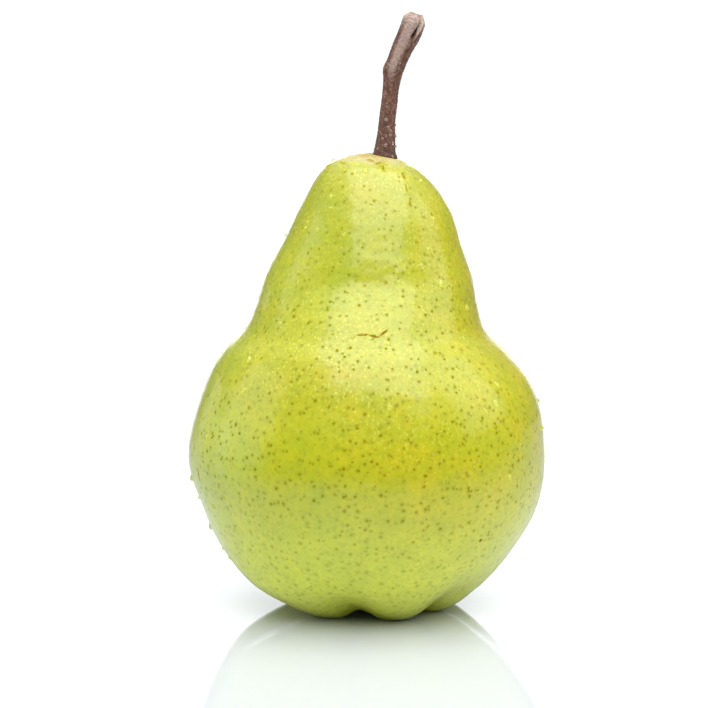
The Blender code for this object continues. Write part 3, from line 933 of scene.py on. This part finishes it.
for offset, half_width, share, colour in STREAKS:
    bearing = math.radians(np.mean(SPLIT["bearings"])) + offset / KNOB_RADIUS
    middle = float(np.interp(STREAK_HEIGHT, stick[:, 2], travelled))
    where = (STRAIGHT_RADIUS * math.sin(bearing), -STRAIGHT_RADIUS * math.cos(bearing), middle)
    sizes = (half_width, STREAK_DEPTH, STREAK_LENGTH)
    reach = {"Location": where, "Rotation": (0.0, STREAK_TILT, bearing), "Scale": sizes}
    streak = wood_node("Mapping", grain, named=reach, vector_type="TEXTURE")
    streak = wood_node("TexGradient", streak, gradient_type="SPHERICAL")
    streak = wood_node("MapRange", streak, 0.1, 0.5, 0.0, share)
    dry_and_highlighted = wood_node("Mix", streak, dry_and_highlighted, linear(colour), data_type="RGBA")
# Painted shade: the stalk darkens over its lowest 8 mm, towards its foot in the fruit's socket.
painted_foot_shade = wood_node("MapRange", up_stalk, 1.5, 8.0, 0.6, 0.0)
foot_shaded = wood_node("Mix", painted_foot_shade, dry_and_highlighted, linear("#432C23"), data_type="RGBA")
dots = wood_node("TexVoronoi", named={"Vector": grain, "Scale": 1 / DOT_CELL})
dot = wood_node("MapRange", dots.outputs["Distance"], 0.1, 0.18, 0.5, 0.0)
dotted = wood_node("Mix", dot, foot_shaded, linear("#B9A596"), data_type="RGBA")
drive(wood_tree, wood_shader, Base_Color=dotted, Roughness=dull_bark, Normal=furrowed)

# %% Stalk piece
stalk_piece = make_piece("stalk_bark", stalk, stalk_wood, ["stem"])
store = stalk_piece.data.attributes.new("straight", "FLOAT_VECTOR", "POINT")
store.data.foreach_set("vector", closed_points(straight).astype(np.float32).ravel())

# %% [markdown]
# ## The calyx
#
# Underneath, in the hollow of the base, sit the remains of the flower: five dried sepals that curl outwards
# and a dark button with the threads of its stamens. They are papery and brittle, so their surfaces are
# wrinkled, dull and dark. All of them are rooted in the flesh, so no gap shows above them.

# %% Dried material
# Waves per millimetre: veins are 0.7 mm apart, and the cells of the crust 0.45 mm wide.
VEINS, CRUSTS = 1.4, 2.2
# The height of its relief in millimetres.
DRIED_RELIEF = 0.1

dried, dried_tree, dried_shader = new_material("withered_sepal_papery", Metallic=0.0, IOR=1.45)
dried_node = functools.partial(add, dried_tree)

dried_place = dried_node("TexCoord").outputs["Object"]
dried_place = dried_node("VectorMath", dried_place, (1 / MM,) * 3, operation="MULTIPLY")
veins = dried_node("TexNoise", named={"Vector": dried_place, "Scale": VEINS, "Detail": 6.0, "Roughness": 0.7})
crust = dried_node("TexVoronoi", named={"Vector": dried_place, "Scale": CRUSTS}, feature="DISTANCE_TO_EDGE")
dried_colour = dried_node("ValToRGB", veins, stops=[(0.3, "#2A1D14"), (0.5, "#4F3823"), (0.72, "#8A6E4A")])
dried_rough = dried_node("MapRange", veins, 0.3, 0.7, 0.7, 0.9)
wrinkled = dried_node("Math", crust.outputs["Distance"], 0.8, veins, operation="MULTIPLY_ADD")
wrinkled = dried_node("Bump", named={"Strength": 0.8, "Distance": DRIED_RELIEF * MM, "Height": wrinkled})
drive(dried_tree, dried_shader, Base_Color=dried_colour, Roughness=dried_rough, Normal=wrinkled)

# %% [markdown]
# A sepal could be a flat sheet that a Solidify modifier gives a thickness, but its edge would be square. A
# closed tongue, worked out as a whole, thins out to its edges and tip, as a dried leaf does.

# %% Sepals
SEPALS, SEPAL_TURN = 5, 20.0
# A sepal's spine, (distance from the middle, height), from its root inside the flesh to its tip.
SEPAL_PATH = [(2.9, 9.35), (3.15, 6.9), (4.0, 5.3), (5.6, 4.3)]
SEPAL_WIDTH, SEPAL_THICKNESS = 2.6, 0.4
SEPAL_CURL, SEPAL_RIB, SEPAL_RIB_WIDTH = 0.5, 0.14, 0.3
# How high the wrinkles stand, and their shortest and longest wave.
SEPAL_WRINKLES, BUTTON_WRINKLES = (0.09, 0.7, 2.2), (0.06, 0.5, 1.6)
SEPAL_ROWS, SEPAL_COLUMNS = 60, 56


def sepal_grid(number):
    """A tongue round its spine: across = half width times sin v, out = half thickness times cos v.

    Its edges curl away by the square of their distance from the middle, a rib stands along the middle, and
    seeded waves wrinkle it.
    """
    spine = even_rows(smooth_line(SEPAL_PATH, 16), SEPAL_ROWS)
    share = np.linspace(0, 1, SEPAL_ROWS)[:, None]
    slope = np.gradient(spine, axis=0)
    slope /= np.linalg.norm(slope, axis=1)[:, None]
    v = np.linspace(0, 2 * math.pi, SEPAL_COLUMNS, endpoint=False)
    taper = np.sqrt(np.clip(1 - share**2.2, 0, 1)) * np.sqrt(np.clip(share / 0.04, 0, 1))
    across = SEPAL_WIDTH / 2 * taper * np.sin(v)
    middle = np.exp(-((across / SEPAL_RIB_WIDTH) ** 2))
    out = SEPAL_THICKNESS / 2 * (1 - 0.5 * share) * taper * np.cos(v)
    out = out + SEPAL_RIB * middle * taper * np.sign(np.cos(v))
    out = out - SEPAL_CURL * share * (across / (SEPAL_WIDTH / 2)) ** 2
    flat = np.stack(np.broadcast_arrays(across, 6 * share, 0 * out), axis=-1)
    out = out + ripples(flat, 20 + number, *SEPAL_WRINKLES) * ease(0.1, 0.4, share)
    distance = spine[:, :1] - out * slope[:, 1:]
    height = spine[:, 1:] + out * slope[:, :1]
    angle = math.radians(SEPAL_TURN + number * 360 / SEPALS)
    x = distance * math.cos(angle) - across * math.sin(angle)
    y = distance * math.sin(angle) + across * math.cos(angle)
    return np.stack(np.broadcast_arrays(x, y, height), axis=-1)


for number in range(1, SEPALS + 1):
    make_piece(f"sepal_{number}_withered", sepal_grid(number), dried, [f"sepal_{number}"])

# %% [markdown]
# The button is a turned outline with ten soft ribs. Each of its stamens is the stalk's kind of tube, only
# much thinner, and as there are many of them, all go into one mesh with few faces each.

# %% The flower's button and its stamens
# (radius, height) from its root inside the flesh to its underside.
BUTTON = [(0.0, 9.55), (1.5, 9.5), (2.15, 8.7), (2.2, 7.4), (1.75, 6.6), (0.9, 6.5), (0.0, 7.0)]
BUTTON_RIBS, BUTTON_RIB_DEPTH = 10, 0.12
BUTTON_ROWS, BUTTON_COLUMNS = 60, 120
STAMENS = 18
STAMEN_RADIUS, ANTHER_RADIUS = 0.08, 0.2
# Where along a stamen its anther swells, and how far it reaches, as shares of the length.
ANTHER_PLACE, ANTHER_REACH = 0.9, 0.07
STAMEN_ROWS, STAMEN_COLUMNS = 22, 8

profile = even_rows(smooth_line(BUTTON, 12, (-1.5, 9.5), (-0.9, 6.5)), BUTTON_ROWS)
profile[:, 0] = np.maximum(profile[:, 0], 0)
v = np.linspace(0, 2 * math.pi, BUTTON_COLUMNS, endpoint=False)
ribbed = 1 - BUTTON_RIB_DEPTH * (0.5 - 0.5 * np.cos(BUTTON_RIBS * v))
ribbed = profile[:, :1] * ribbed
button = np.stack(np.broadcast_arrays(ribbed * np.sin(v), -ribbed * np.cos(v), profile[:, 1:]), axis=-1)
wrinkles = ripples(button, 31, *BUTTON_WRINKLES) * np.minimum(1, profile[:, :1])
button[1:-1] += (grid_normals(button) * wrinkles[..., None])[1:-1]
make_piece("flower_button", button, dried, ["calyx_eye"])


def stamen_grid(angle, droop, bend):
    """A withered thread from the button's rim, outwards and down, that swells to an anther at its end."""
    distances = np.array([1.7, 2.35, 2.5 + 0.3 * bend, 2.6 + 0.6 * bend])
    heights = np.array([7.5, 6.9, 6.2, 6.3 - droop])
    swings = angle + np.array([0, 0.05, 0.1, 0.25]) * bend
    knots = np.stack([distances * np.cos(swings), distances * np.sin(swings), heights], axis=1)
    line = even_rows(smooth_line(knots, 12), STAMEN_ROWS - 1)
    travel = np.linspace(0, 1, STAMEN_ROWS - 1)
    anther = np.exp(-(((travel - ANTHER_PLACE) / ANTHER_REACH) ** 2))
    radius = STAMEN_RADIUS * (1 - 0.4 * travel) + (ANTHER_RADIUS - STAMEN_RADIUS) * anther
    radius[[0, -1]] = 0
    across = np.array([-math.sin(angle), math.cos(angle), 0])
    return tube_grid(np.hstack([line, radius[:, None]]), STAMEN_COLUMNS, across)


rng = np.random.default_rng(41)
angles = 2 * math.pi * (np.arange(STAMENS) + rng.uniform(-0.3, 0.3, STAMENS)) / STAMENS
droops = rng.uniform(0.3, 1.6, STAMENS)
bends = rng.uniform(-0.8, 1, STAMENS)
stamens = [stamen_grid(*row) for row in zip(angles, droops, bends)]
make_piece("flower_stamens", stamens, dried)

# %% [markdown]
# ## Water
#
# The drops sit on the wax as low domes, because it repels water only half. A dome is a spherical cap: its
# height is the radius times the tangent of half the contact angle. Its foot is sunk into the skin, so no gap
# shows, and its top sags downhill. Water bends light by an index of 1.333 and lets lamps shine through, which
# is said with a transparent shader for shadow rays. A real drop is quite clear and smooth. Here it gets
# some body in the colour of what it lies on, which stands for the light it gathers there, and a little
# roughness, which spreads the lamps' glints so that they don't sparkle.

# %% Water material


def clear_water(name, tint):
    """Slightly tinted water that lets shadow rays straight through."""
    material, tree, shader = new_material(
        name, Base_Color=linear(tint), Roughness=0.2, IOR=1.333, Transmission_Weight=0.85
    )
    lamp_ray = add(tree, "LightPath").outputs["Is Shadow Ray"]
    shown = add(tree, "MixShader", lamp_ray, shader.outputs[0], add(tree, "BsdfTransparent").outputs[0])
    tree.links.new(shown.outputs[0], tree.nodes["Material Output"].inputs["Surface"])
    return material


skin_water = clear_water("water_clear_on_skin", "#EEF1A4")
bark_water = clear_water("water_clear_on_bark", "#E3D3C8")

# %% [markdown]
# The dew is drops about half a millimetre wide. The eye doesn't follow how light bends in them. It sees
# pale spots, because each one gathers the light like a lens. A soft pale shader that is mostly see-through
# gives that at a fraction of the cost. Gathering light is also why the dew is set to cast no shadow.

# %% Dew material
dew_look = {"Roughness": 0.6, "IOR": 1.333, "Alpha": 0.18, "Specular_IOR_Level": 0.25}
dew_water = new_material("water_dew_fine", Base_Color=linear("#DCE04A"), **dew_look)[0]

# %% Drop shapes
# A drop is sunk by this share of its radius, and its top slides downhill by this share of its height.
SINK, SAG = 0.12, 0.25
# How much its foot departs from a circle, as two waves and three round it.
TWO_WAVES, THREE_WAVES = 0.12, 0.06
# A slope gentler than this counts as level.
LEVEL = 0.05
# Drops are kept apart by this many times the sum of their radii, so that none run together.
ROOM = 1.15


def drop_grids(places, normals, radii, contact, rings, sides, seed):
    """One closed dome for each place: rings at equal steps of the cap's angle, and a flat underside.

    A ring's radius is the ball's radius times the sine of its angle, and its height times the cosine. Seeded
    waves round the foot make its outline uneven. The higher a ring, the further it slides downhill, most of
    all on a steep slope, and the whole dome is sunk, so that its rim is below the skin.
    """
    rng = np.random.default_rng(seed)
    count = len(radii)
    uphill = np.array([0, 0, 1.0]) - normals * normals[:, 2:]
    steepness = np.linalg.norm(uphill, axis=1, keepdims=True)
    uphill = np.where(steepness > LEVEL, uphill / np.maximum(steepness, LEVEL), [[1.0, 0, 0]])
    uphill -= normals * (uphill * normals).sum(axis=1, keepdims=True)
    uphill /= np.linalg.norm(uphill, axis=1, keepdims=True)
    sideways = np.cross(normals, uphill)
    opening = math.radians(contact)
    step = np.linspace(0, opening, rings + 1)
    out = np.append(np.sin(step), 0.0) / math.sin(opening)
    rise = np.append(np.cos(step) - math.cos(opening), 0.0) / math.sin(opening)
    v = np.linspace(0, 2 * math.pi, sides, endpoint=False)
    phase = rng.uniform(0, 2 * math.pi, (count, 2))
    uneven = 1 + TWO_WAVES * np.cos(2 * v + phase[:, :1]) + THREE_WAVES * np.cos(3 * v + phase[:, 1:])
    lateral = radii[:, None, None] * out[:, None] * uneven[:, None, :]
    slide = -SAG * steepness * rise * radii[:, None]
    lift = radii[:, None] * (rise - SINK)
    return (
        places[:, None, None]
        + (lateral * np.cos(v) + slide[..., None])[..., None] * uphill[:, None, None]
        + (lateral * np.sin(v))[..., None] * sideways[:, None, None]
        + lift[..., None, None] * normals[:, None, None]
    )


def clear_of_each_other(places, radii):
    """True for a drop whose distance from all drops before it is over ROOM times their radii's sum."""
    squares = (places**2).sum(axis=1)
    apart = squares[:, None] + squares[None] - 2 * places @ places.T
    touching = apart < (ROOM * (radii[:, None] + radii[None])) ** 2
    return ~np.tril(touching, -1).any(axis=1)


# %% [markdown]
# The large drops have chosen places. The dew is scattered by chance: each face of the fruit's grid can be
# drawn, and the larger and the wetter it is, the likelier. A drop that would touch another one is left out.

# %% Where the drops lie
# (azimuth, height, radius) of the big drops, and (bearing, height, radius) of those on the stalk.
BIG_DROPS = [
    (-52.0, 56.3, 0.8), (-49.0, 50.2, 0.7), (50.8, 32.5, 0.75), (17.2, 77.3, 0.65), (31.3, 75.3, 0.75),
    (16.8, 72.4, 0.8), (42.8, 71.6, 1.05), (48.0, 47.8, 0.8), (-80.8, 28.7, 0.75), (-84.0, 17.7, 0.7),
    (-38.0, 87.0, 0.5), (62.0, 66.0, 0.7), (-20.0, 82.0, 0.45), (5.0, 90.0, 0.4), (-86.0, 24.0, 0.5),
    (78.0, 40.0, 0.6), (-70.0, 12.5, 0.5), (-76.0, 14.0, 0.4),
]
STALK_DROPS = [
    (-7.0, 104.5, 0.38), (12.0, 102.8, 0.42), (30.0, 101.2, 0.44), (-20.0, 100.5, 0.36), (0.0, 99.2, 0.42),
    (50.0, 99.5, 0.4), (-45.0, 98.2, 0.38), (80.0, 103.3, 0.4), (88.0, 101.0, 0.46), (84.0, 98.8, 0.44),
    (20.0, 116.3, 0.24), (24.0, 115.1, 0.28), (4.0, 113.9, 0.28), (150.0, 108.0, 0.35), (-120.0, 103.0, 0.4),
    (170.0, 117.0, 0.35), (-160.0, 99.5, 0.4),
]
# The number of more big drops that are scattered by chance, and their smallest and largest radius.
STRAY_DROPS, STRAY_RADII = 60, (0.35, 0.75)
# The number of fine drops to try, their middle radius, its spread, and the smallest and largest.
DEW_DROPS, DEW_RADIUS, DEW_SPREAD, DEW_RADII = 4600, 0.29, 0.36, (0.14, 0.6)
# The dew sets in between these levels, in patches: how uneven they are, and their shortest and longest wave.
DEW_FROM, DEW_TO, DEW_PATCHES = 31.0, 54.0, (0.4, 8.0, 22.0)
# The contact angles. Fine drops have run flat.
BIG_CONTACT, DEW_CONTACT = 76.0, 38.0
# The last rows of the fruit's grid lie in the hollow of the base, where no big drop hangs.
HOLLOW_ROWS = 60
# No drop on the skin comes nearer than this to the middle of the stalk's foot, so none runs through it.
FOOT_CLEARANCE = 3.1

# %% Ways to place them


def scatter(count, wetness, seed):
    """Seeded places on the fruit and their normals, chosen by each face's area times its wetness."""
    rng = np.random.default_rng(seed)
    down, across = fruit[1:] - fruit[:-1], np.roll(fruit, -1, axis=1) - fruit
    area = np.linalg.norm(np.cross(down, across[:-1]), axis=-1)
    weight = (area * wetness[:-1]).ravel()
    chosen = rng.choice(weight.size, count, replace=False, p=weight / weight.sum())
    row, column = np.unravel_index(chosen, area.shape)
    shift = rng.uniform(0, 1, (2, count, 1))
    spots = fruit[row, column] + shift[0] * down[row, column] + shift[1] * across[row, column]
    return spots, fruit_out[row, column]


def nearest_rows(grid, normals, wanted, columns):
    """The points and normals of a grid's columns at the wanted heights."""
    heights = grid[:, columns, 2]
    rows = np.abs(heights - wanted).argmin(axis=0)
    return grid[rows, columns], normals[rows, columns]


# %% Places
upper = fruit[..., 2]
outside = np.arange(FRUIT_ROWS)[:, None] < outer_rows
patchy = 0.7 + ripples(fruit, 51, *DEW_PATCHES)
wetness = ease(DEW_FROM, DEW_TO, upper + WET_LEAN * fruit[..., 0])
wetness = wetness * np.clip(patchy, 0.12, 1) * outside
dew_places, dew_normals = scatter(DEW_DROPS, wetness, 52)
rng = np.random.default_rng(53)
dew_radii = np.clip(DEW_RADIUS * np.exp(DEW_SPREAD * rng.normal(size=DEW_DROPS)), *DEW_RADII)
stray_places, stray_normals = scatter(STRAY_DROPS, ease(8.0, 60.0, upper) * outside, 54)
stray_radii = rng.uniform(*STRAY_RADII, STRAY_DROPS)
azimuth, wanted, big_radii = np.array(BIG_DROPS).T
columns = np.round(azimuth % 360 / 360 * FRUIT_COLUMNS).astype(int) % FRUIT_COLUMNS
big_places, big_normals = nearest_rows(fruit[:-HOLLOW_ROWS], fruit_out, wanted, columns)

# %% The drops that are kept
big_places = np.concatenate([big_places, stray_places])
big_normals = np.concatenate([big_normals, stray_normals])
big_radii = np.concatenate([big_radii, stray_radii])
all_places = np.concatenate([big_places, dew_places])
all_radii = np.concatenate([big_radii, dew_radii])
free = clear_of_each_other(all_places, all_radii)
from_foot = np.linalg.norm(all_places[:, :2] - STALK_FOOT, axis=1) - all_radii
free &= (from_foot > FOOT_CLEARANCE) | (all_places[:, 2] < CROWN_SLOPE_FROM)
big_free, dew_free = free[: len(big_radii)], free[len(big_radii) :]
print(dew_free.sum(), "fine drops and", big_free.sum(), "big ones are kept")

# %% Water pieces
big = drop_grids(big_places[big_free], big_normals[big_free], big_radii[big_free], BIG_CONTACT, 8, 24, 55)
make_piece("water_drops", big, skin_water)
dew = drop_grids(dew_places[dew_free], dew_normals[dew_free], dew_radii[dew_free], DEW_CONTACT, 2, 7, 56)
dew_piece = make_piece("water_dew", dew, dew_water)
dew_piece.visible_shadow = False

bearing, wanted, radii = np.array(STALK_DROPS).T
columns = np.round(bearing % 360 / 360 * STALK_COLUMNS).astype(int) % STALK_COLUMNS
spots, away = nearest_rows(stalk, stalk_out, wanted, columns)
make_piece("water_on_stalk", drop_grids(spots, away, radii, BIG_CONTACT, 6, 20, 57), bark_water)

# %% [markdown]
# Last, the boxes of the plain pear and of the finished one are put side by side in one dictionary, so that
# they can be compared.

# %% Sizes
box_low, box_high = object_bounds()
sizes = {"cad": [list(frame_low), list(frame_high)], "visual": [list(box_low), list(box_high)]}
